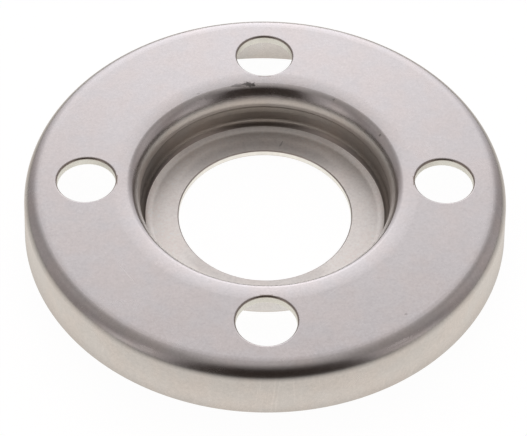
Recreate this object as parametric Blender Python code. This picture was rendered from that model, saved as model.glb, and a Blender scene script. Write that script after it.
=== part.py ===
"""Lap joint flange pressed from one piece of stainless steel sheet.

A round blank is drawn down in the middle into a flat-bottomed well, and its
rim is turned down into a skirt. The flat ring between them carries the bolts.
The well's floor has the pipe bore, and its underside is the seat that presses
on the stub end's lap. It lies flush with the skirt's bottom edge at Z = 0.

Run it with: blender --background --python part.py
Lengths are in metres, with +Z up, and the bolt holes lie on +X, +Y, -X and -Y.
"""

from math import atan2, cos, pi, radians, sin, tan

import bmesh
import bpy
from mathutils import Vector

MM = 0.001

# Sizes that the pipe joint sets
RIM_DIAMETER = 150.0 * MM
BOLT_CIRCLE = 110.0 * MM
BOLT_HOLE = 18.0 * MM
BOLT_COUNT = 4
BORE = 54.0 * MM

# Sizes of the ring and the skirt
HEIGHT = 17.75 * MM
SHEET = 3.0 * MM
SKIRT_DRAFT = radians(3.67)
RIM_BEND = 4.75 * MM

# The well, whose wall and floor come out thinner than the sheet
WELL_DIAMETER = 77.2 * MM
WELL_DRAFT = radians(1.3)
WELL_WALL = 2.0 * MM
WELL_FLOOR = 2.2 * MM
CORNER_BEND = 3.6 * MM

# The ring's inner edge, which sags a little toward the well from its shoulder inward
SHOULDER_REACH = 6.5 * MM
SHOULDER_BEND = 53.0 * MM
SHOULDER_TURN = radians(4.5)

# The well's lip, which turns down tightly to LIP_TURN and then eases into the wall
LIP_BEND = 2.7 * MM
LIP_TURN = radians(50.0)
LIP_DEPTH = 3.5 * MM
LIP_EASE = 7.4 * MM
LIP_SHEET = 2.4 * MM
LIP_INSIDE_BEND = 1.2 * MM

# Rounding that the press tools leave on cut edges
CUT_EDGE = 0.35 * MM
PUNCHED_EDGE = 0.65 * MM

# How finely the round stretches are divided
TURN_STEPS = 72
HOLE_STEPS = 32
BEND_STEP = radians(18.0)
EDGE_STEP = radians(45.0)
SHARPEST_SMOOTH = radians(50.0)

STEEL_COLOUR = (0.56, 0.54, 0.52, 1.0)
STEEL_METALLIC = 1.0
STEEL_ROUGHNESS = 0.3


def clear_scene():
    """Remove whatever the scene holds."""
    for thing in list(bpy.data.objects):
        bpy.data.objects.remove(thing, do_unlink=True)


def half_angle(before, corner, after):
    """Return half of the angle between the two sides that meet at a corner."""
    return (before - corner).angle(after - corner) / 2.0


def rounded_corner(before, corner, after, radius, step):
    """Return the points of an arc that rounds one corner of an outline."""
    to_before = (before - corner).normalized()
    to_after = (after - corner).normalized()
    half = half_angle(before, corner, after)
    centre = corner + (to_before + to_after).normalized() * (radius / sin(half))
    start = corner + to_before * (radius / tan(half)) - centre
    finish = corner + to_after * (radius / tan(half)) - centre
    sweep = atan2(start.cross(finish), start.dot(finish))
    count = max(2, round(abs(sweep) / step))
    first = atan2(start.y, start.x)
    angles = [first + sweep * place / count for place in range(count + 1)]
    return [centre + Vector((cos(angle), sin(angle))) * radius for angle in angles]


def rounded_outline(corners):
    """Return a closed outline with its corners rounded.

    Each corner is (radius from the axis, height, rounding, arc step). Where two
    arcs don't fit on the side between them, both are made smaller until they do.
    """
    count = len(corners)
    places = [Vector(corner[:2]) for corner in corners]
    reaches = []
    for index, (_, _, rounding, _) in enumerate(corners):
        half = half_angle(places[index - 1], places[index], places[(index + 1) % count])
        reaches.append(rounding / tan(half))
    shares = []
    for index in range(count):
        side = (places[index] - places[index - 1]).length
        shares.append(min(1.0, side / (reaches[index] + reaches[index - 1])))
    outline = []
    for index, (_, _, rounding, step) in enumerate(corners):
        following = (index + 1) % count
        radius = rounding * min(shares[index], shares[following])
        outline += rounded_corner(places[index - 1], places[index], places[following], radius, step)
    return outline


def skirt_radius(height):
    """Return the skirt's outer radius at a height."""
    return RIM_DIAMETER / 2.0 - height * tan(SKIRT_DRAFT)


def well_radius(height):
    """Return the radius of the well's inner wall at a height."""
    return WELL_DIAMETER / 2.0 + (height - WELL_FLOOR) * tan(WELL_DRAFT)


def flange_section():
    """Return the flange's section to the right of its axis, as (radius, height)."""
    underside = HEIGHT - SHEET
    sag = tan(SHOULDER_TURN)
    slope = tan(LIP_TURN)
    knee_height = HEIGHT - LIP_DEPTH
    knee = well_radius(knee_height)
    shoulder = knee + SHOULDER_REACH
    lip = knee + (LIP_DEPTH - SHOULDER_REACH * sag) / (slope - sag)
    lip_height = HEIGHT - (shoulder - lip) * sag
    skirt_wall = SHEET / cos(SKIRT_DRAFT)
    well_wall = WELL_WALL / cos(WELL_DRAFT)
    under_knee = knee + well_wall
    under_lip = lip + LIP_SHEET / sin(LIP_TURN) - (lip_height - underside) / slope
    under_knee_height = underside - (under_lip - under_knee) * slope
    inside_rim_bend = max(RIM_BEND - SHEET, CUT_EDGE)
    inside_lip_ease = max(LIP_EASE - LIP_SHEET, CUT_EDGE)
    outside_corner_bend = CORNER_BEND + WELL_FLOOR
    return rounded_outline([
        (BORE / 2.0, WELL_FLOOR, CUT_EDGE, EDGE_STEP),
        (well_radius(WELL_FLOOR), WELL_FLOOR, CORNER_BEND, BEND_STEP),
        (knee, knee_height, LIP_EASE, BEND_STEP),
        (lip, lip_height, LIP_BEND, BEND_STEP),
        (shoulder, HEIGHT, SHOULDER_BEND, BEND_STEP),
        (skirt_radius(HEIGHT), HEIGHT, RIM_BEND, BEND_STEP),
        (skirt_radius(0.0), 0.0, CUT_EDGE, EDGE_STEP),
        (skirt_radius(0.0) - skirt_wall, 0.0, CUT_EDGE, EDGE_STEP),
        (skirt_radius(underside) - skirt_wall, underside, inside_rim_bend, BEND_STEP),
        (under_lip, underside, LIP_INSIDE_BEND, BEND_STEP),
        (under_knee, under_knee_height, inside_lip_ease, BEND_STEP),
        (well_radius(0.0) + well_wall, 0.0, outside_corner_bend, BEND_STEP),
        (BORE / 2.0, 0.0, CUT_EDGE, EDGE_STEP),
    ])


def turned_shape(outline, steps, closed):
    """Return a bmesh of an outline turned once round the Z axis.

    An outline that isn't closed gets a flat cap at each end.
    """
    shape = bmesh.new()
    corners = [shape.verts.new((radius, 0.0, height)) for radius, height in outline]
    for here, there in zip(corners, corners[1:]):
        shape.edges.new((here, there))
    if closed:
        shape.edges.new((corners[-1], corners[0]))
    bmesh.ops.spin(
        shape,
        geom=shape.verts[:] + shape.edges[:],
        cent=(0.0, 0.0, 0.0),
        axis=(0.0, 0.0, 1.0),
        angle=2.0 * pi,
        steps=steps,
        use_merge=True,
    )
    if not closed:
        bmesh.ops.holes_fill(shape, edges=shape.edges[:])
    bmesh.ops.recalc_face_normals(shape, faces=shape.faces[:])
    return shape


def flare(rounding):
    """Return the points of a plug's flare, as (distance out, distance from the face).

    The flare goes on in a straight line past its face.
    """
    steps = round(radians(90.0) / EDGE_STEP)
    turns = [radians(90.0) * place / steps for place in range(steps + 1)]
    points = [Vector((rounding * (1.0 - cos(turn)), rounding * (1.0 - sin(turn)))) for turn in turns]
    return points + [points[-1] * 2.0 - points[-2]]


def bolt_hole_outline():
    """Return the side of the plug that a bolt hole takes out of the ring.

    The plug flares at both faces of the ring, which rounds the hole's edges.
    """
    radius = BOLT_HOLE / 2.0
    upper = [(radius + out, HEIGHT - down) for out, down in flare(PUNCHED_EDGE)]
    lower = [(radius + out, HEIGHT - SHEET + up) for out, up in flare(CUT_EDGE)]
    return lower[::-1] + upper


def steel():
    """Return the pressed and pickled stainless steel."""
    material = bpy.data.materials.new("stainless_steel")
    material.use_nodes = True
    shader = material.node_tree.nodes["Principled BSDF"]
    shader.inputs["Base Color"].default_value = STEEL_COLOUR
    shader.inputs["Metallic"].default_value = STEEL_METALLIC
    shader.inputs["Roughness"].default_value = STEEL_ROUGHNESS
    material.diffuse_color = STEEL_COLOUR
    return material


def new_object(name, shape):
    """Return an object that holds a bmesh as its mesh."""
    mesh = bpy.data.meshes.new(name)
    shape.to_mesh(mesh)
    shape.free()
    thing = bpy.data.objects.new(name, mesh)
    bpy.context.scene.collection.objects.link(thing)
    return thing


def make_flange():
    """Return the flange as a turned body, not yet drilled."""
    flange = new_object("lap_joint_flange", turned_shape(flange_section(), TURN_STEPS, True))
    flange.data.materials.append(steel())
    flange.data.shade_smooth()
    flange.data.set_sharp_from_angle(angle=SHARPEST_SMOOTH)
    return flange


def punch_bolt_holes(flange):
    """Cut the bolt holes, spaced evenly round the bolt circle from +X."""
    plug = turned_shape(bolt_hole_outline(), HOLE_STEPS, False)
    first = new_object("bolt_hole_cutter_1", plug)
    cutters = [first]
    for number in range(2, BOLT_COUNT + 1):
        cutter = bpy.data.objects.new(f"bolt_hole_cutter_{number}", first.data)
        bpy.context.scene.collection.objects.link(cutter)
        cutters.append(cutter)
    for number, cutter in enumerate(cutters):
        angle = 2.0 * pi * number / BOLT_COUNT
        cutter.location = (BOLT_CIRCLE / 2.0 * cos(angle), BOLT_CIRCLE / 2.0 * sin(angle), 0.0)
        cutter.rotation_euler.z = angle
        cutter.hide_render = True
        cutter.display_type = "WIRE"
        cut = flange.modifiers.new(f"bolt_hole_{number + 1}", "BOOLEAN")
        cut.operation = "DIFFERENCE"
        cut.solver = "EXACT"
        cut.object = cutter


def main():
    """Build the flange."""
    clear_scene()
    flange = make_flange()
    punch_bolt_holes(flange)


main()
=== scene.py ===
"""Looks of a pressed stainless steel lap joint flange, in Blender 4.5.

The flange is one piece of sheet: a flat bolting ring, a skirt turned down round
its rim, and a well drawn down in its middle with the pipe bore in the floor.
Sizes in the classes are in millimetres, and MM turns them into scene units.
"""

import logging
from dataclasses import dataclass, field
from enum import Enum
from math import cos, hypot, pi, radians, sin, tan

import bmesh
import bpy
from mathutils import Matrix, Vector


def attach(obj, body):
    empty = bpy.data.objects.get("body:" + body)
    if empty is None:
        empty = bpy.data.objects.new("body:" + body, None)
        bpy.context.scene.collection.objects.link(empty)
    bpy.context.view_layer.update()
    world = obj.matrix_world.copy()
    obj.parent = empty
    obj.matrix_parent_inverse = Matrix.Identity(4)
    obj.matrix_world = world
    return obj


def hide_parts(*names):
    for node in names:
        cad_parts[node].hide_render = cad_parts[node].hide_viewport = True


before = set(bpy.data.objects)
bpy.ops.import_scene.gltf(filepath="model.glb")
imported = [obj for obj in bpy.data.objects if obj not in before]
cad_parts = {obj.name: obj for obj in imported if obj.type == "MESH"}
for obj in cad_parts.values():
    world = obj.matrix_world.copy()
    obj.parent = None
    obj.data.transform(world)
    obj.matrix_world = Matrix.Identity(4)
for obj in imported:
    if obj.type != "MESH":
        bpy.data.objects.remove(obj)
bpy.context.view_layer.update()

CAD_NODE = "lap_joint_flange"
ROOT_BODY = "root"
MM = 0.001
LOG = logging.getLogger("flange_looks")
WHITE = (1.0, 1.0, 1.0, 1.0)

# A vector times this is its level part
LEVEL = (1.0, 1.0, 0.0)

# A Stretch is the start and the end of where one value gives way to another
Colour = tuple[float, float, float]
Stretch = tuple[float, float]
Socket = bpy.types.NodeSocket


def metres(lengths: tuple[float, ...]) -> tuple[float, ...]:
    """Return lengths in scene units, from millimetres."""
    return tuple(length * MM for length in lengths)


class Outline(Enum):
    """Whether a section's outline runs back to its first corner."""

    OPEN = "open"
    CLOSED = "closed"


class Finish(Enum):
    """The finishes of the flange's faces, by their material's place on the mesh."""

    SATIN = 0
    # a darker steel, partly the punch's working and partly painted shade
    IRONED = 1
    DRAWN = 2
    SHEARED = 3


@dataclass(frozen=True)
class Corner:
    """One corner of a turned section, in millimetres."""

    radius: float
    height: float
    rounding: float
    segments: int


@dataclass(frozen=True)
class NoiseKind:
    """A noise, by its cells in a metre, its finer layers and how strongly they show."""

    scale: object
    detail: float
    roughness: float


CLOUDS = NoiseKind(70.0, 3.0, 0.6)
MOTTLE = NoiseKind(520.0, 3.0, 0.6)
GRAIN = NoiseKind(1250.0, 2.0, 0.7)
HUES = NoiseKind(110.0, 2.0, 0.5)
ROLLED = NoiseKind(1.0, 1.0, 0.4)
ROLLED_PATCHES = NoiseKind(45.0, 1.0, 0.5)

# A noise stays near its middle, and this gain brings its swing to about 1 each way
NOISE_MIDDLE = 0.5
NOISE_GAIN = 4.0

HUES_OFFSET = (0.31, 0.17, 0.05)
GLOSS_MOTTLE = 0.4
HEIGHT_MOTTLE = 0.7
HEIGHT_GRAIN = 0.3

# Rolling lines: how far the noise is drawn out, how sharp they are and where they show
ROLLED_STRETCH = (60.0, 2600.0, 60.0)
ROLLED_SHARPNESS = 0.05
ROLLED_GATE: Stretch = (0.5, 0.62)

# Wear marks: the layers of their ragged edge, and where the edge fades, in shares of their size
MARK_DETAIL = 3.0
MARK_LAYERS = 0.65
MARK_EDGE: Stretch = (0.75, 1.05)


def round_corner(wire: bmesh.types.BMesh, vertex: bmesh.types.BMVert, corner: Corner) -> None:
    """Round one corner of a wire with an arc.

    Args:
        wire: The section's outline, in the XZ plane.
        vertex: The corner's vertex, which has two edges.
        corner: The rounding's radius and number of segments.
    """
    sides = [edge.other_vert(vertex).co - vertex.co for edge in vertex.link_edges]
    half_angle = sides[0].angle(sides[1]) / 2.0
    bmesh.ops.bevel(
        wire,
        geom=[vertex],
        offset=corner.rounding * MM / tan(half_angle),
        offset_type="OFFSET",
        segments=corner.segments,
        profile=0.5,
        affect="VERTICES",
        clamp_overlap=True,
        material=-1,
    )


def turned_shape(corners: list[Corner], steps: int, outline: Outline) -> bmesh.types.BMesh:
    """Turn a section with rounded corners once round the Z axis.

    Args:
        corners: The section's corners, in order.
        steps: The number of faces round the axis.
        outline: Whether the section is closed. An open one gets flat end caps.

    Returns:
        The turned shape, with its faces pointing out.
    """
    shape = bmesh.new()
    vertices = [shape.verts.new((c.radius * MM, 0.0, c.height * MM)) for c in corners]
    for here, there in zip(vertices, vertices[1:]):
        shape.edges.new((here, there))
    if outline is Outline.CLOSED:
        shape.edges.new((vertices[-1], vertices[0]))
    for vertex, corner in zip(vertices, corners):
        if corner.rounding > 0.0:
            round_corner(shape, vertex, corner)
    bmesh.ops.spin(
        shape,
        geom=shape.verts[:] + shape.edges[:],
        cent=(0.0, 0.0, 0.0),
        axis=(0.0, 0.0, 1.0),
        angle=2.0 * pi,
        steps=steps,
        use_merge=True,
    )
    if outline is Outline.OPEN:
        bmesh.ops.holes_fill(shape, edges=shape.edges[:])
    bmesh.ops.recalc_face_normals(shape, faces=shape.faces[:])
    return shape


def new_object(name: str, shape: bmesh.types.BMesh) -> bpy.types.Object:
    """Put a bmesh into a new object at the origin.

    Args:
        name: The object's name.
        shape: The bmesh, which is freed.

    Returns:
        The linked object.
    """
    mesh = bpy.data.meshes.new(name)
    shape.to_mesh(mesh)
    shape.free()
    thing = bpy.data.objects.new(name, mesh)
    bpy.context.scene.collection.objects.link(thing)
    return thing


class NodeSheet:
    """A node tree with short ways to add and join its nodes."""

    def __init__(self, tree: bpy.types.NodeTree) -> None:
        """Wrap a node tree."""
        self.tree = tree

    def add(self, kind: str, **settings: object) -> bpy.types.Node:
        """Add a node.

        Args:
            kind: The node's type.
            settings: The node's own settings.

        Returns:
            The node.
        """
        node = self.tree.nodes.new(kind)
        for name, value in settings.items():
            setattr(node, name, value)
        return node

    def feed(self, node: bpy.types.Node, **inputs: object) -> bpy.types.Node:
        """Give a node its inputs.

        Args:
            node: The node.
            inputs: Values or output sockets, by the input's name with _ for a space.
                A name of i and a number means the input at that place.

        Returns:
            The node.
        """
        for name, value in inputs.items():
            key = int(name[1:]) if name[0] == "i" and name[1:].isdigit() else name.replace("_", " ")
            socket = node.inputs[key]
            if isinstance(value, Socket):
                self.tree.links.new(value, socket)
            else:
                socket.default_value = value
        return node

    def maths(self, operation: str, first: object, second: object = 0.0) -> Socket:
        """Return the result of a Math node."""
        node = self.add("ShaderNodeMath", operation=operation)
        return self.feed(node, i0=first, i1=second).outputs[0]

    def product(self, first: object, second: object) -> Socket:
        """Return one value times another."""
        return self.maths("MULTIPLY", first, second)

    def combine(self, operation: str, first: object, second: object) -> Socket:
        """Return the vector that a Vector Math node makes from two vectors."""
        node = self.add("ShaderNodeVectorMath", operation=operation)
        return self.feed(node, i0=first, i1=second).outputs[0]

    def parts(self, vector: object) -> bpy.types.NodeOutputs:
        """Return a vector's three parts."""
        return self.feed(self.add("ShaderNodeSeparateXYZ"), Vector=vector).outputs

    def scaled(self, vector: object, factor: object) -> Socket:
        """Return a vector or colour times a factor."""
        node = self.add("ShaderNodeVectorMath", operation="SCALE")
        return self.feed(node, i0=vector, Scale=factor).outputs[0]

    def measure(self, operation: str, vector: object, **inputs: object) -> Socket:
        """Return the value that a Vector Math node measures on a vector."""
        node = self.add("ShaderNodeVectorMath", operation=operation)
        return self.feed(node, i0=vector, **inputs).outputs["Value"]

    def step(
        self,
        value: object,
        low: object,
        high: object,
        start: float = 0.0,
        end: float = 1.0,
    ) -> Socket:
        """Return a smooth step.

        Args:
            value: What drives the step.
            low: The value at which the step begins.
            high: The value at which it ends.
            start: The result before the step.
            end: The result after it.

        Returns:
            The result's socket.
        """
        node = self.add("ShaderNodeMapRange", interpolation_type="SMOOTHSTEP")
        self.feed(node, Value=value, From_Min=low, From_Max=high, To_Min=start, To_Max=end)
        return node.outputs[0]

    def noise(self, vector: object, kind: NoiseKind) -> Socket:
        """Return a noise texture's value.

        Args:
            vector: The texture's coordinates.
            kind: The noise.

        Returns:
            The value's socket.
        """
        node = self.add("ShaderNodeTexNoise")
        self.feed(node, Vector=vector, Scale=kind.scale, Detail=kind.detail, Roughness=kind.roughness)
        return node.outputs[0]

    def swing(self, pattern: object, gain: object) -> Socket:
        """Return how far a pattern is from its middle, times a gain."""
        return self.product(self.maths("SUBTRACT", pattern, NOISE_MIDDLE), gain)

    def mix_colour(self, amount: object, first: object, second: object) -> Socket:
        """Return a mix of two colours."""
        node = self.add("ShaderNodeMix", data_type="RGBA")
        return self.feed(node, i0=amount, i6=first, i7=second).outputs[2]

    def mix_value(self, amount: object, first: object, second: object) -> Socket:
        """Return a mix of two values."""
        node = self.add("ShaderNodeMix", data_type="FLOAT")
        return self.feed(node, i0=amount, i2=first, i3=second).outputs[0]


class EffectGroup:
    """A shader node group with named inputs and outputs."""

    def __init__(
        self,
        name: str,
        inputs: dict[str, tuple[str, object]],
        outputs: tuple[str, ...],
    ) -> None:
        """Make the group and its sockets.

        Args:
            name: The group's name.
            inputs: Each input's kind, Float or Vector, and value.
            outputs: The names of the outputs, which are values.
        """
        self.tree = bpy.data.node_groups.new(name, "ShaderNodeTree")
        self.sheet = NodeSheet(self.tree)
        for title, (kind, value) in inputs.items():
            kind = f"NodeSocket{kind}"
            socket = self.tree.interface.new_socket(title, in_out="INPUT", socket_type=kind)
            socket.default_value = value
        for title in outputs:
            self.tree.interface.new_socket(title, in_out="OUTPUT", socket_type="NodeSocketFloat")
        self.inputs = self.sheet.add("NodeGroupInput").outputs
        self.result = self.sheet.add("NodeGroupOutput")

    def place(self, sheet: NodeSheet, **inputs: object) -> bpy.types.Node:
        """Put the group into a material.

        Args:
            sheet: The material's nodes.
            inputs: The group's values or sockets, by input name.

        Returns:
            The group's node.
        """
        return sheet.feed(sheet.add("ShaderNodeGroup", node_tree=self.tree), **inputs)


def pickled_surface() -> EffectGroup:
    """Make the clouds, mottle and grain that pickling leaves on all of the steel.

    Returns:
        The group, which gives a tone about 1, a place between two hues, a gloss and a height.
    """
    group = EffectGroup(
        "pickled_surface",
        {
            "Vector": ("Vector", (0.0, 0.0, 0.0)),
            "Clouds": ("Float", 0.03),
            "Mottle": ("Float", 0.03),
            "Grain": ("Float", 0.02),
        },
        ("Tone", "Hue", "Gloss", "Height"),
    )
    sheet = group.sheet
    place = group.inputs["Vector"]
    clouds = sheet.noise(place, CLOUDS)
    mottle = sheet.noise(place, MOTTLE)
    grain = sheet.noise(place, GRAIN)
    hue = sheet.noise(sheet.combine("ADD", place, HUES_OFFSET), HUES)
    tone: object = 1.0
    for pattern, title in ((clouds, "Clouds"), (mottle, "Mottle"), (grain, "Grain")):
        swing = sheet.swing(pattern, group.inputs[title])
        tone = sheet.maths("ADD", tone, sheet.product(swing, NOISE_GAIN))
    height = sheet.maths("ADD", sheet.product(mottle, HEIGHT_MOTTLE), sheet.product(grain, HEIGHT_GRAIN))
    gloss = sheet.mix_value(GLOSS_MOTTLE, clouds, mottle)
    sheet.feed(group.result, Tone=tone, Hue=hue, Gloss=gloss, Height=height)
    return group


def rolling_lines() -> EffectGroup:
    """Make the fine straight lines that the sheet keeps from rolling and handling.

    Returns:
        The group, which gives the lines' mask.
    """
    group = EffectGroup(
        "rolling_lines",
        {"Vector": ("Vector", (0.0, 0.0, 0.0)), "Turn": ("Float", 0.0), "Cut": ("Float", 0.66)},
        ("Mask",),
    )
    sheet = group.sheet
    turned = sheet.add("ShaderNodeVectorRotate", rotation_type="Z_AXIS")
    sheet.feed(turned, Vector=group.inputs["Vector"], Angle=group.inputs["Turn"])
    lines = sheet.noise(sheet.combine("MULTIPLY", turned.outputs[0], ROLLED_STRETCH), ROLLED)
    cut = group.inputs["Cut"]
    fine = sheet.step(lines, cut, sheet.maths("ADD", cut, ROLLED_SHARPNESS))
    gate = sheet.step(sheet.noise(group.inputs["Vector"], ROLLED_PATCHES), *ROLLED_GATE)
    sheet.feed(group.result, Mask=sheet.product(fine, gate))
    return group


def wear_mark() -> EffectGroup:
    """Make a ragged oval mark at a place, for scuffs, specks and nicks.

    Returns:
        The group, which gives the mark's mask.
    """
    group = EffectGroup(
        "wear_mark",
        {
            "Vector": ("Vector", (0.0, 0.0, 0.0)),
            "Place": ("Vector", (0.0, 0.0, 0.0)),
            "Turn": ("Float", 0.0),
            "Size": ("Vector", (0.001, 0.001, 0.001)),
            "Ragged": ("Float", 0.5),
            "Fineness": ("Float", 900.0),
        },
        ("Mask",),
    )
    sheet = group.sheet
    offset = sheet.combine("SUBTRACT", group.inputs["Vector"], group.inputs["Place"])
    turned = sheet.add("ShaderNodeVectorRotate", rotation_type="Z_AXIS")
    sheet.feed(turned, Vector=offset, Angle=sheet.product(group.inputs["Turn"], -1.0))
    reach = sheet.measure("LENGTH", sheet.combine("DIVIDE", turned.outputs[0], group.inputs["Size"]))
    noise = sheet.noise(
        group.inputs["Vector"],
        NoiseKind(group.inputs["Fineness"], MARK_DETAIL, MARK_LAYERS),
    )
    swing = sheet.swing(noise, group.inputs["Ragged"])
    ragged = sheet.maths("ADD", reach, sheet.product(swing, NOISE_GAIN))
    sheet.feed(group.result, Mask=sheet.step(ragged, *MARK_EDGE, 1.0, 0.0))
    return group


@dataclass(frozen=True)
class WearMark:
    """One scuff, speck or nick, with its place and half-sizes in millimetres and its turn in degrees."""

    place: tuple[float, float, float]
    size: tuple[float, float, float]
    turn: float
    strength: float
    ragged: float = 0.5
    fineness: float = 900.0


@dataclass(frozen=True)
class Effects:
    """The node groups that the finishes share."""

    surface: EffectGroup = field(default_factory=pickled_surface)
    lines: EffectGroup = field(default_factory=rolling_lines)
    mark: EffectGroup = field(default_factory=wear_mark)

    def marks(self, sheet: NodeSheet, place: Socket, marks: tuple[WearMark, ...]) -> object:
        """Return the joint mask of some wear marks.

        Args:
            sheet: The material's nodes.
            place: The coordinates' socket.
            marks: The marks.

        Returns:
            The mask's socket, or 0 where there are no marks.
        """
        mask: object = 0.0
        for mark in marks:
            node = self.mark.place(
                sheet,
                Vector=place,
                Place=metres(mark.place),
                Turn=radians(mark.turn),
                Size=metres(mark.size),
                Ragged=mark.ragged,
                Fineness=mark.fineness,
            )
            mask = sheet.maths("MAXIMUM", mask, sheet.product(node.outputs[0], mark.strength))
        return mask


@dataclass(frozen=True)
class WellZones:
    """Where the well's zones give way to each other.

    The first four are in millimetres, and the others are in shares of the way out from
    the axis: left and right along X, and near along Y. The well's painted light and shade change across
    them.
    """

    lip_height: Stretch = (12.8, 15.2)
    lip_reach: Stretch = (40.0, 40.6)
    outer_floor: Stretch = (29.5, 34.5)
    bend: Stretch = (35.2, 36.5)
    left: Stretch = (-0.97, -0.65)
    right: Stretch = (0.5, 0.97)
    near: Stretch = (-0.95, -0.3)


ZONES = WellZones()


@dataclass(frozen=True)
class SteelFinish:
    """Stainless steel with one of the flange's finishes.

    Its colour lies between warm and cool. In the well it is multiplied by the well's tint and
    by painted light and shade for the zones, whose product doesn't pass a set cap.
    """

    name: str
    warm: Colour
    cool: Colour
    roughness: float
    roughness_swing: float
    clouds: float
    mottle: float
    grain: float
    bump: float
    line_turns: tuple[float, ...] = ()
    line_gain: float = 0.0
    dark_marks: tuple[WearMark, ...] = ()
    light_marks: tuple[WearMark, ...] = ()
    soil: Colour = (0.07, 0.065, 0.06)
    bright: Colour = (0.86, 0.84, 0.83)
    hue_edge: Stretch = (0.35, 0.65)
    nick_roughness: float = 0.42
    soil_roughness: float = 0.6
    soil_depth: float = 1.5
    # the well's tint, which darkens and warms the satin lip and is painted light that brightens the
    # bore's cut wall
    well_tint: Colour = (1.0, 1.0, 1.0)
    well_roughness: float = 0.0
    # painted light and shade inside the well: lighter or darker toward the wall, at the corner and at
    # each side
    outer_tone: float = 1.0
    bend_tone: float = 1.0
    left_tone: float = 1.0
    right_tone: float = 1.0
    near_tone: float = 1.0
    most_tone: float = 1.37

    def down_the_well(self, sheet: NodeSheet, place: object, reach: object) -> Socket:
        """Return the mask of the well below the lip's top, where the steel is rougher and takes the
        well's tint and its painted light and shade.

        Args:
            sheet: The material's nodes.
            place: The coordinates' socket.
            reach: The distance from the axis, as a socket.

        Returns:
            The mask's socket, which is 0 on the ring and the skirt.
        """
        low = sheet.step(sheet.parts(place)[2], *metres(ZONES.lip_height), 1.0, 0.0)
        return sheet.product(low, sheet.step(reach, *metres(ZONES.lip_reach), 1.0, 0.0))

    def zone_tone(self, sheet: NodeSheet, place: object, reach: object, down: object) -> Socket:
        """Return the painted light and shade of the well's zones.

        Args:
            sheet: The material's nodes.
            place: The coordinates' socket.
            reach: The distance from the axis, as a socket.
            down: The mask of the well, as a socket.

        Returns:
            The painted light's socket, which is 1 on the ring and the skirt.
        """
        # painted light and shade: the floor lighter toward the wall and at its corner, and each side of
        # the well lighter or darker
        outer = sheet.step(reach, *metres(ZONES.outer_floor), 1.0, self.outer_tone)
        outer = sheet.mix_value(sheet.step(reach, *metres(ZONES.bend)), outer, self.bend_tone)
        parts = sheet.parts(place)
        aside = sheet.maths("DIVIDE", parts[0], reach)
        left = sheet.step(aside, *ZONES.left, self.left_tone, 1.0)
        right = sheet.step(aside, *ZONES.right, 1.0, self.right_tone)
        near = sheet.step(sheet.maths("DIVIDE", parts[1], reach), *ZONES.near, self.near_tone, 1.0)
        zone = sheet.product(sheet.product(outer, near), sheet.product(left, right))
        return sheet.mix_value(down, 1.0, sheet.maths("MINIMUM", zone, self.most_tone))

    def material(self, effects: Effects) -> bpy.types.Material:
        """Return the finish as a material.

        Args:
            effects: The shared node groups.

        Returns:
            The material.
        """
        made = bpy.data.materials.new(self.name)
        made.use_nodes = True
        sheet = NodeSheet(made.node_tree)
        shader = made.node_tree.nodes["Principled BSDF"]
        place = sheet.add("ShaderNodeTexCoord").outputs["Object"]
        surface = effects.surface.place(
            sheet,
            Vector=place,
            Clouds=self.clouds,
            Mottle=self.mottle,
            Grain=self.grain,
        )
        hue = sheet.step(surface.outputs["Hue"], *self.hue_edge)
        colour = sheet.mix_colour(hue, (*self.warm, 1.0), (*self.cool, 1.0))
        tone: object = surface.outputs["Tone"]
        for turn in self.line_turns:
            lines = effects.lines.place(sheet, Vector=place, Turn=radians(turn)).outputs["Mask"]
            tone = sheet.maths("ADD", tone, sheet.product(lines, self.line_gain))
        light = effects.marks(sheet, place, self.light_marks)
        dark = effects.marks(sheet, place, self.dark_marks)
        reach = sheet.measure("LENGTH", sheet.combine("MULTIPLY", place, LEVEL))
        down = self.down_the_well(sheet, place, reach)
        # the zones' painted light and shade scale the tone inside the well
        tone = sheet.product(tone, self.zone_tone(sheet, place, reach, down))
        # the well's tint: warmer and darker on the satin lip, and painted light brightening the bore's
        # cut wall
        tint = sheet.mix_colour(down, WHITE, (*self.well_tint, 1.0))
        toned = sheet.combine("MULTIPLY", sheet.scaled(colour, tone), tint)
        worn = sheet.mix_colour(light, toned, (*self.bright, 1.0))
        soiled = sheet.mix_colour(dark, worn, (*self.soil, 1.0))
        swing = sheet.swing(surface.outputs["Gloss"], self.roughness_swing)
        swing = sheet.maths("ADD", swing, sheet.product(down, self.well_roughness))
        rough = sheet.mix_value(light, sheet.maths("ADD", self.roughness, swing), self.nick_roughness)
        rough = sheet.mix_value(dark, rough, self.soil_roughness)
        pits = sheet.product(dark, self.soil_depth)
        height = sheet.maths("SUBTRACT", surface.outputs["Height"], pits)
        relief = sheet.add("ShaderNodeBump")
        sheet.feed(relief, Strength=1.0, Distance=self.bump * MM, Height=height)
        sheet.feed(shader, Base_Color=soiled, Roughness=rough, Normal=relief.outputs[0])
        shader.inputs["Metallic"].default_value = 1.0
        return made


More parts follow.
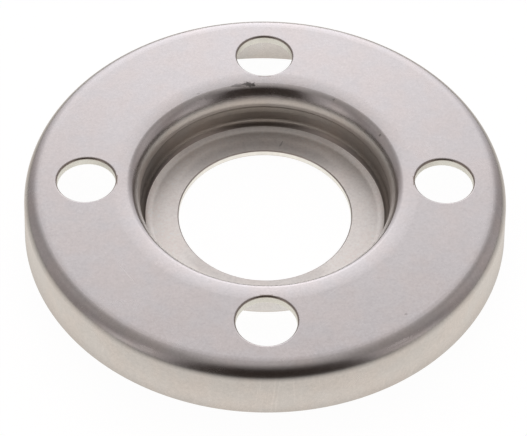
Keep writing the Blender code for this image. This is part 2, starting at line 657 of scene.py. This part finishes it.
SATIN_STEEL = SteelFinish(
    name="satin_steel",
    # warmer and darker down the well
    well_tint=(0.87, 0.82, 0.78),
    well_roughness=0.1,
    # painted shade: the lip darker at the left and the right of the well
    left_tone=0.7,
    right_tone=0.64,
    warm=(0.627, 0.6, 0.588),
    cool=(0.613, 0.602, 0.6),
    roughness=0.26,
    roughness_swing=0.12,
    clouds=0.03,
    mottle=0.035,
    grain=0.055,
    bump=0.004,
    line_turns=(62.0, 140.0),
    line_gain=0.05,
    dark_marks=(
        WearMark((-8.4, 41.5, 16.9), (3.2, 0.7, 1.2), 6.0, 0.42, 0.45, 1100.0),
        WearMark((-5.1, 42.2, 16.9), (2.6, 1.15, 1.2), -4.0, 0.78, 0.55, 1300.0),
        WearMark((-16.0, 37.8, 16.7), (5.0, 1.1, 1.4), 23.0, 0.13, 0.3, 500.0),
        WearMark((-21.3, 37.5, 17.0), (1.2, 0.4, 1.0), 30.0, 0.25, 0.5, 1500.0),
        WearMark((22.1, 35.5, 17.0), (0.5, 0.4, 1.0), 0.0, 0.35, 0.3, 1500.0),
        WearMark((36.1, 20.0, 17.0), (0.45, 0.4, 1.0), 0.0, 0.45, 0.3, 1500.0),
        WearMark((40.4, -52.6, 17.75), (0.5, 0.5, 1.0), 0.0, 0.22, 0.3, 1500.0),
    ),
    light_marks=(
        WearMark((-34.3, -64.3, 16.3), (2.6, 0.7, 0.6), -28.0, 0.95, 0.5, 900.0),
        WearMark((37.7, -61.9, 16.3), (4.8, 0.5, 0.4), 30.0, 0.9, 0.4, 800.0),
        WearMark((-40.6, -38.1, 17.75), (4.5, 0.16, 0.8), 125.0, 0.3, 0.2, 500.0),
    ),
)

# A darker steel for the well's wall and the bolt holes' rims, partly ironed by the punch and partly
# painted shade
IRONED_STEEL = SteelFinish(
    name="ironed_steel_and_shade",
    # painted shade: the wall darker at the left and the right of the well
    left_tone=0.42,
    right_tone=0.6,
    warm=(0.4, 0.355, 0.32),
    cool=(0.38, 0.35, 0.325),
    roughness=0.34,
    roughness_swing=0.12,
    clouds=0.04,
    mottle=0.05,
    grain=0.05,
    bump=0.005,
)

DRAWN_STEEL = SteelFinish(
    name="drawn_steel",
    # painted light: the floor lighter toward the wall, at the corner, at the sides and toward the viewer
    outer_tone=1.65,
    left_tone=1.36,
    right_tone=1.52,
    near_tone=1.2,
    bend_tone=1.12,
    warm=(0.72, 0.695, 0.66),
    cool=(0.71, 0.7, 0.67),
    roughness=0.5,
    roughness_swing=0.12,
    clouds=0.035,
    mottle=0.05,
    grain=0.07,
    bump=0.006,
    dark_marks=(WearMark((5.4, 30.1, 2.2), (1.5, 0.3, 0.6), 65.0, 0.3, 0.5, 1200.0),),
)

SHEARED_STEEL = SteelFinish(
    name="sheared_steel",
    # painted light: the bore's cut wall made brighter inside the well
    well_tint=(1.18, 1.17, 1.19),
    warm=(0.7, 0.69, 0.645),
    cool=(0.69, 0.69, 0.65),
    roughness=0.4,
    roughness_swing=0.2,
    clouds=0.0,
    mottle=0.06,
    grain=0.04,
    bump=0.02,
)


@dataclass
class PressedFlange:
    """The flange, with the sizes that its press tools give it.

    Lengths are in millimetres and angles in degrees. A share is a part of the size that
    it belongs to. A gap is how near a face's centre lies to the surface it counts to.
    """

    rim_diameter: float = 150.0
    height: float = 17.75
    sheet: float = 3.0
    skirt_draft: float = 3.67
    rim_bend: float = 4.75
    rim_ease_reach: float = 4.8
    rim_ease_bend: float = 20.0
    rim_ease_turn: float = 4.0
    rim_ease_cut: float = 0.1
    bolt_circle: float = 110.0
    bolt_hole: float = 18.0
    bolt_count: int = 4
    bore: float = 54.0
    well_diameter: float = 77.2
    well_draft: float = 1.3
    well_wall: float = 2.0
    well_floor: float = 2.2
    corner_bend: float = 3.6
    shoulder_reach: float = 6.5
    shoulder_bend: float = 53.0
    shoulder_turn: float = 4.5
    lip_bend: float = 2.7
    lip_turn: float = 50.0
    lip_depth: float = 3.5
    lip_sheet: float = 2.4
    lip_inside_bend: float = 1.2
    lip_ease: float = 7.4
    cut_edge: float = 0.35
    punched_edge: float = 0.65
    line_height: float = 10.7
    line_width: float = 2.3
    line_groove: float = 0.08
    line_step: float = 0.02
    line_groove_share: float = 0.25
    line_blend_share: float = 0.15
    groove_blend_share: float = 0.5
    top_blend_share: float = 0.3
    plug_flare: float = 2.0
    plug_rise: float = 0.25
    plug_rounding_share: float = 0.999
    flat_share: float = 0.2
    face_gap: float = 0.01
    hole_gap: float = 0.03
    top_gap: float = 0.04
    wall_gap: float = 0.05
    turn_steps: int = 288
    hole_steps: int = 96
    bend_segments: int = 16
    edge_segments: int = 4
    line_segments: int = 3
    shading_weight: int = 100

    def skirt_radius(self, height: float) -> float:
        """Return the skirt's outer radius at a height."""
        return self.rim_diameter / 2.0 - height * tan(radians(self.skirt_draft))

    def well_radius(self, height: float) -> float:
        """Return the radius of the well's inner wall at a height."""
        return self.well_diameter / 2.0 + (height - self.well_floor) * tan(radians(self.well_draft))

    def bend(self, radius: float, height: float, rounding: float) -> Corner:
        """Return a corner that the press bends."""
        return Corner(radius, height, rounding, self.bend_segments)

    def edge(self, radius: float, height: float) -> Corner:
        """Return a corner that the press cuts."""
        return Corner(radius, height, self.cut_edge, self.edge_segments)

    def draw_line(self) -> list[Corner]:
        """Return the shallow step and groove that the punch leaves round the well's wall.

        Returns:
            The corners, going up.
        """
        top = self.line_height
        groove = top - self.line_width * self.line_groove_share
        foot = top - self.line_width
        blend = self.line_width * self.line_blend_share
        deep = self.well_radius(groove) + self.line_groove + self.line_step
        high = self.well_radius(top) + self.line_step
        return [
            Corner(self.well_radius(foot), foot, blend, self.line_segments),
            Corner(deep, groove, blend * self.groove_blend_share, self.line_segments),
            Corner(high, top, blend * self.top_blend_share, self.line_segments),
        ]

    def section(self) -> list[Corner]:
        """Work out the flange's section.

        Returns:
            The corners, from the bore out over the top and back below.
        """
        under = self.height - self.sheet
        sag = tan(radians(self.shoulder_turn))
        slope = tan(radians(self.lip_turn))
        knee_height = self.height - self.lip_depth
        knee = self.well_radius(knee_height)
        shoulder = knee + self.shoulder_reach
        lip = knee + (self.lip_depth - self.shoulder_reach * sag) / (slope - sag)
        lip_height = self.height - (shoulder - lip) * sag
        droop = tan(radians(self.rim_ease_turn))
        rim_height = self.height - self.rim_ease_reach * droop
        rim_start = self.skirt_radius(self.height) - self.rim_ease_reach
        skirt_wall = self.sheet / cos(radians(self.skirt_draft))
        well_wall = self.well_wall / cos(radians(self.well_draft))
        under_knee = knee + well_wall
        under_lip = lip + self.lip_sheet / sin(radians(self.lip_turn)) - (lip_height - under) / slope
        under_knee_height = under - (under_lip - under_knee) * slope
        return [
            self.edge(self.bore / 2.0, self.well_floor),
            self.bend(self.well_radius(self.well_floor), self.well_floor, self.corner_bend),
            *self.draw_line(),
            self.bend(knee, knee_height, self.lip_ease),
            self.bend(lip, lip_height, self.lip_bend),
            self.bend(shoulder, self.height, self.shoulder_bend),
            self.bend(rim_start, self.height, self.rim_ease_bend),
            self.bend(self.skirt_radius(rim_height), rim_height, self.rim_bend - self.rim_ease_cut),
            self.edge(self.skirt_radius(0.0), 0.0),
            self.edge(self.skirt_radius(0.0) - skirt_wall, 0.0),
            self.bend(self.skirt_radius(under) - skirt_wall, under, self.rim_bend - self.sheet),
            self.bend(under_lip, under, self.lip_inside_bend),
            self.bend(under_knee, under_knee_height, self.lip_ease - self.lip_sheet),
            self.bend(self.well_radius(0.0) + well_wall, 0.0, self.corner_bend + self.well_floor),
            self.edge(self.bore / 2.0, 0.0),
        ]

    def hole_plug(self) -> list[Corner]:
        """Return the side of the plug that a bolt hole takes out of the ring.

        The plug flares at both faces, which rounds the hole's edges. The roundings are
        a hair too small, so that they fit between their corners.

        Returns:
            The corners, going up.
        """
        radius = self.bolt_hole / 2.0
        under = self.height - self.sheet
        low = self.cut_edge
        high = self.punched_edge
        fit = self.plug_rounding_share
        return [
            Corner(radius + low * self.plug_flare, under - low * self.plug_rise, 0.0, 1),
            Corner(radius + low, under, 0.0, 1),
            Corner(radius, under, low * fit, self.edge_segments),
            Corner(radius, self.height, high * fit, self.edge_segments * 2),
            Corner(radius + high, self.height, 0.0, 1),
            Corner(radius + high * self.plug_flare, self.height + high * self.plug_rise, 0.0, 1),
        ]

    def hole_centres(self) -> list[Vector]:
        """Return the bolt holes' centres, in millimetres."""
        turns = [2.0 * pi * number / self.bolt_count for number in range(self.bolt_count)]
        return [Vector((cos(turn), sin(turn))) * (self.bolt_circle / 2.0) for turn in turns]

    def punch(self, flange: bpy.types.Object) -> None:
        """Punch the bolt holes.

        Args:
            flange: The turned flange, whose mesh is replaced.
        """
        cutters = []
        for number, centre in enumerate(self.hole_centres()):
            plug = turned_shape(self.hole_plug(), self.hole_steps, Outline.OPEN)
            bmesh.ops.translate(plug, vec=(centre.x * MM, centre.y * MM, 0.0), verts=plug.verts[:])
            cutter = new_object(f"bolt_hole_cutter_{number + 1}", plug)
            cut = flange.modifiers.new(cutter.name, "BOOLEAN")
            cut.operation = "DIFFERENCE"
            cut.solver = "EXACT"
            cut.object = cutter
            cutters.append(cutter)
        bpy.context.view_layer.update()
        drilled = flange.evaluated_get(bpy.context.evaluated_depsgraph_get())
        mesh = bpy.data.meshes.new_from_object(drilled)
        mesh.name = flange.name
        flange.modifiers.clear()
        flange.data = mesh
        for cutter in cutters:
            bpy.data.objects.remove(cutter, do_unlink=True)

    def finish_at(self, centre: Vector) -> Finish:
        """Return the finish of a face.

        Args:
            centre: The face's centre, in millimetres.

        Returns:
            Sheared for the cut edges, ironed, a darker steel that is partly painted shade, for the
            bolt holes' rims and for the well's wall below the draw line, drawn for the well's floor, and
            satin for the rest.
        """
        reach = hypot(centre.x, centre.y)
        under = self.height - self.sheet
        if reach < self.bore / 2.0 + self.face_gap:
            return Finish.SHEARED
        if centre.z < self.cut_edge * self.flat_share and reach > self.skirt_radius(0.0) - self.sheet:
            return Finish.SHEARED
        nearest = min((Vector(centre[:2]) - hole).length for hole in self.hole_centres())
        from_wall = nearest - self.bolt_hole / 2.0
        if from_wall < self.punched_edge and centre.z < self.height - self.top_gap:
            if centre.z > self.height - self.punched_edge:
                return Finish.IRONED
            if from_wall < self.hole_gap and centre.z > under + self.face_gap:
                return Finish.SHEARED
        wall = self.well_radius(centre.z) + self.line_groove + self.line_step + self.wall_gap
        if self.well_floor - self.face_gap < centre.z < self.line_height and reach < wall:
            corner = self.well_floor + self.corner_bend * self.flat_share
            return Finish.IRONED if centre.z > corner else Finish.DRAWN
        return Finish.SATIN

    def dress(self, flange: bpy.types.Object, effects: Effects) -> None:
        """Give the flange its finishes, smooth faces and even shading.

        Args:
            flange: The punched flange.
            effects: The node groups that the finishes share.
        """
        mesh = flange.data
        mesh.materials.clear()
        for finish in (SATIN_STEEL, IRONED_STEEL, DRAWN_STEEL, SHEARED_STEEL):
            mesh.materials.append(finish.material(effects))
        for face in mesh.polygons:
            face.material_index = self.finish_at(face.center / MM).value
        mesh.shade_smooth()
        even = flange.modifiers.new("even_shading", "WEIGHTED_NORMAL")
        even.weight = self.shading_weight
        even.keep_sharp = True

    def build(self) -> bpy.types.Object:
        """Build the flange in place of its plain node.

        Returns:
            The flange.
        """
        body = turned_shape(self.section(), self.turn_steps, Outline.CLOSED)
        flange = new_object("pressed_flange", body)
        self.punch(flange)
        self.dress(flange, Effects())
        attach(flange, ROOT_BODY)
        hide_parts(CAD_NODE)
        return flange


@dataclass
class PaleFloor:
    """The white table that the flange lies on.

    Its glow is what the steel mirrors. It is whiter under the flange, steps down just
    outside the rim, and fades with a power of the distance. The turns say where the
    values give way to each other, from -1 toward the viewer over 0 at the sides.
    """

    half_size: float = 2000.0
    seen_level: float = 0.95
    shadow_part: float = 0.13
    glow: Colour = (0.87, 0.815, 0.745)
    under_glow: Colour = (1.0, 0.97, 0.92)
    under_edge: Stretch = (60.0, 75.0)
    rim_edge: Stretch = (75.0, 79.0)
    rim_level: float = 0.82
    front_level: float = 1.11
    side_level: float = 0.97
    level_turn: Stretch = (-0.9, 0.0)
    fade_start: float = 77.0
    fade_front: float = 1.5
    fade_side: float = 0.66
    fade_back: float = 0.85
    front_turn: Stretch = (-0.9, -0.5)
    back_turn: Stretch = (-0.35, 0.05)

    def material(self) -> bpy.types.Material:
        """Return the floor's material.

        The camera sees it white with a faint shadow, and the steel reflects a
        warm white that dims with distance, most of all toward the viewer. It is
        clear from below, so that the flange's underside can be seen.

        Returns:
            The material.
        """
        made = bpy.data.materials.new("pale_floor")
        made.use_nodes = True
        made.node_tree.nodes.clear()
        sheet = NodeSheet(made.node_tree)
        place = sheet.add("ShaderNodeTexCoord").outputs["Object"]
        reach = sheet.measure("LENGTH", place)
        under = sheet.step(reach, *metres(self.under_edge), 1.0, 0.0)
        glow = sheet.mix_colour(under, (*self.glow, 1.0), (*self.under_glow, 1.0))
        front = sheet.maths("DIVIDE", sheet.parts(place)[1], reach)
        power = sheet.step(front, *self.front_turn, self.fade_front, self.fade_side)
        gain = sheet.step(front, *self.back_turn, 0.0, self.fade_back - self.fade_side)
        power = sheet.maths("ADD", power, gain)
        away = sheet.maths("MAXIMUM", sheet.maths("DIVIDE", reach, self.fade_start * MM), 1.0)
        close = sheet.step(reach, *metres(self.rim_edge), self.rim_level, 1.0)
        level = sheet.step(front, *self.level_turn, self.front_level, self.side_level)
        close = sheet.mix_value(under, sheet.product(close, level), 1.0)
        fade = sheet.maths("DIVIDE", close, sheet.maths("POWER", away, power))
        is_camera = sheet.add("ShaderNodeLightPath").outputs["Is Camera Ray"]
        colour = sheet.mix_colour(is_camera, glow, WHITE)
        strength = sheet.mix_value(is_camera, fade, self.seen_level)
        light = sheet.feed(sheet.add("ShaderNodeEmission"), Color=colour, Strength=strength)
        shade = sheet.feed(sheet.add("ShaderNodeBsdfDiffuse"), Color=(*[self.shadow_part] * 3, 1.0))
        both = sheet.feed(sheet.add("ShaderNodeAddShader"), i0=light.outputs[0], i1=shade.outputs[0])
        clear = sheet.add("ShaderNodeBsdfTransparent")
        below = sheet.add("ShaderNodeNewGeometry").outputs["Backfacing"]
        sided = sheet.add("ShaderNodeMixShader")
        sheet.feed(sided, i0=below, i1=both.outputs[0], i2=clear.outputs[0])
        sheet.feed(sheet.add("ShaderNodeOutputMaterial"), Surface=sided.outputs[0])
        return made

    def build(self) -> bpy.types.Object:
        """Build the floor.

        Returns:
            The floor.
        """
        shape = bmesh.new()
        bmesh.ops.create_grid(shape, x_segments=1, y_segments=1, size=self.half_size * MM)
        floor = new_object("floor", shape)
        floor.data.materials.append(self.material())
        return floor


@dataclass(frozen=True)
class SoftPanel:
    """A soft light far off, in degrees.

    Azimuth 0 is behind the flange and 90 to its right. The light fades over spread to
    both sides, and upward from the elevation full_to to fade_to.
    """

    azimuth: float
    spread: float
    full_to: float
    fade_to: float
    colour: Colour


@dataclass
class SoftStudio:
    """The studio: a dim tent with soft panels and a strip overhead, dark round the viewer.

    The strip's sizes are shares of the way out to the sides and to the back.
    """

    low: Colour = (0.302, 0.268, 0.264)
    high: Colour = (0.375, 0.342, 0.332)
    rise: Stretch = (30.0, 62.0)
    strip: Colour = (0.22, 0.208, 0.212)
    strip_reach: float = 0.42
    strip_start: Stretch = (-0.35, 0.25)
    sides: tuple[SoftPanel, ...] = (
        SoftPanel(130.0, 20.0, 38.0, 52.0, (0.2, 0.184, 0.182)),
        SoftPanel(230.0, 20.0, 38.0, 52.0, (0.2, 0.184, 0.182)),
        SoftPanel(70.0, 32.0, 38.0, 60.0, (0.2, 0.184, 0.182)),
        SoftPanel(290.0, 32.0, 38.0, 60.0, (0.12, 0.112, 0.11)),
        SoftPanel(240.0, 15.0, 12.0, 32.0, (0.33, 0.303, 0.29)),
        SoftPanel(114.0, 15.0, 8.0, 26.0, (0.3, 0.276, 0.264)),
    )
    window: SoftPanel = SoftPanel(0.0, 55.0, 33.0, 62.0, (1.06, 1.045, 1.1))
    dusk: Colour = (0.031, 0.022, 0.018)
    dark_azimuth: float = 176.0
    dark_side: Stretch = (33.0, 42.0)
    dark_top: Stretch = (44.0, 92.0)

    def offset(self, sheet: NodeSheet, flat: object, azimuth: float) -> Socket:
        """Return the angle round the compass from an azimuth, in degrees.

        Args:
            sheet: The world's nodes.
            flat: The direction's level part, of length 1.
            azimuth: The azimuth.

        Returns:
            The angle's socket, from 0 to 180.
        """
        aim = (sin(radians(azimuth)), cos(radians(azimuth)), 0.0)
        near = sheet.measure("DOT_PRODUCT", flat, i1=aim)
        limited = sheet.maths("MINIMUM", sheet.maths("MAXIMUM", near, -1.0), 1.0)
        return sheet.maths("DEGREES", sheet.maths("ARCCOSINE", limited))

    def panel_light(
        self,
        sheet: NodeSheet,
        flat: object,
        rise: object,
        panel: SoftPanel,
    ) -> Socket:
        """Return a panel's light.

        Args:
            sheet: The world's nodes.
            flat: The direction's level part, of length 1.
            rise: The direction's elevation, in degrees.
            panel: The panel.

        Returns:
            The light's socket.
        """
        across = sheet.step(self.offset(sheet, flat, panel.azimuth), 0.0, panel.spread, 1.0, 0.0)
        upward = sheet.step(rise, panel.full_to, panel.fade_to, 1.0, 0.0)
        return sheet.scaled(panel.colour, sheet.product(across, upward))

    def build(self) -> bpy.types.World:
        """Build the world.

        Returns:
            The world.
        """
        world = bpy.data.worlds.new("soft_studio")
        world.use_nodes = True
        world.node_tree.nodes.clear()
        sheet = NodeSheet(world.node_tree)
        direction = sheet.add("ShaderNodeTexCoord").outputs["Generated"]
        parts = sheet.parts(direction)
        rise = sheet.maths("DEGREES", sheet.maths("ARCSINE", parts[2]))
        normalize = sheet.add("ShaderNodeVectorMath", operation="NORMALIZE")
        flat = sheet.feed(normalize, i0=sheet.combine("MULTIPLY", direction, LEVEL)).outputs[0]
        climb = sheet.step(rise, *self.rise)
        tent = sheet.mix_colour(climb, (*self.low, 1.0), (*self.high, 1.0))
        for panel in self.sides:
            tent = sheet.combine("ADD", tent, self.panel_light(sheet, flat, rise, panel))
        across = sheet.step(sheet.maths("ABSOLUTE", parts[0]), 0.0, self.strip_reach, 1.0, 0.0)
        along = sheet.step(parts[1], *self.strip_start)
        tent = sheet.combine("ADD", tent, sheet.scaled(self.strip, sheet.product(across, along)))
        toward = self.offset(sheet, flat, self.dark_azimuth)
        around = sheet.step(toward, *self.dark_side, 1.0, 0.0)
        below = sheet.step(rise, *self.dark_top, 1.0, 0.0)
        room = sheet.mix_colour(sheet.product(around, below), tent, (*self.dusk, 1.0))
        total = sheet.combine("ADD", room, self.panel_light(sheet, flat, rise, self.window))
        is_camera = sheet.add("ShaderNodeLightPath").outputs["Is Camera Ray"]
        seen = sheet.mix_colour(is_camera, total, WHITE)
        sky = sheet.feed(sheet.add("ShaderNodeBackground"), Color=seen, Strength=1.0)
        sheet.feed(sheet.add("ShaderNodeOutputWorld"), Surface=sky.outputs[0])
        bpy.context.scene.world = world
        return world


@dataclass(frozen=True)
class PhotoCamera:
    """The camera, at the photograph's place and angle.

    Its lens is given by its focal length in pixels of an image of image_width.
    """

    aim: tuple[float, float, float] = (-0.684, -15.567, 17.75)
    distance: float = 591.02
    azimuth: float = -0.985
    elevation: float = 48.549
    roll: float = 0.897
    focal_pixels: float = 1958.3
    image_width: float = 527.0
    sensor_width: float = 36.0
    clip_start: float = 0.01
    clip_end: float = 50.0

    def build(self) -> bpy.types.Object:
        """Place the camera and make it the scene's.

        Returns:
            The camera.
        """
        data = bpy.data.cameras.new("photo_camera")
        data.sensor_width = self.sensor_width
        data.lens = self.focal_pixels / self.image_width * self.sensor_width
        data.clip_start = self.clip_start
        data.clip_end = self.clip_end
        camera = bpy.data.objects.new("photo_camera", data)
        bpy.context.scene.collection.objects.link(camera)
        turn = Matrix.Rotation(radians(self.azimuth), 4, "Z")
        tilt = Matrix.Rotation(radians(90.0 - self.elevation), 4, "X")
        spin = Matrix.Rotation(radians(self.roll), 4, "Z")
        back = Matrix.Translation((0.0, 0.0, self.distance * MM))
        camera.matrix_world = Matrix.Translation(Vector(self.aim) * MM) @ turn @ tilt @ spin @ back
        bpy.context.scene.camera = camera
        return camera


def main() -> None:
    """Build the camera, the flange, the floor and the studio, and report each."""
    logging.basicConfig(level=logging.INFO, format="%(message)s")
    camera = PhotoCamera().build()
    LOG.info("%s: lens %.1f mm", camera.name, camera.data.lens)
    flange = PressedFlange().build()
    mesh = flange.data
    LOG.info("%s: %d faces, %d finishes", flange.name, len(mesh.polygons), len(mesh.materials))
    floor = PaleFloor().build()
    LOG.info("%s: %.1f m across", floor.name, floor.dimensions.x)
    world = SoftStudio().build()
    LOG.info("%s: %d nodes", world.name, len(world.node_tree.nodes))
    bpy.context.scene.view_settings.view_transform = "Standard"


if __name__ == "__main__":
    main()
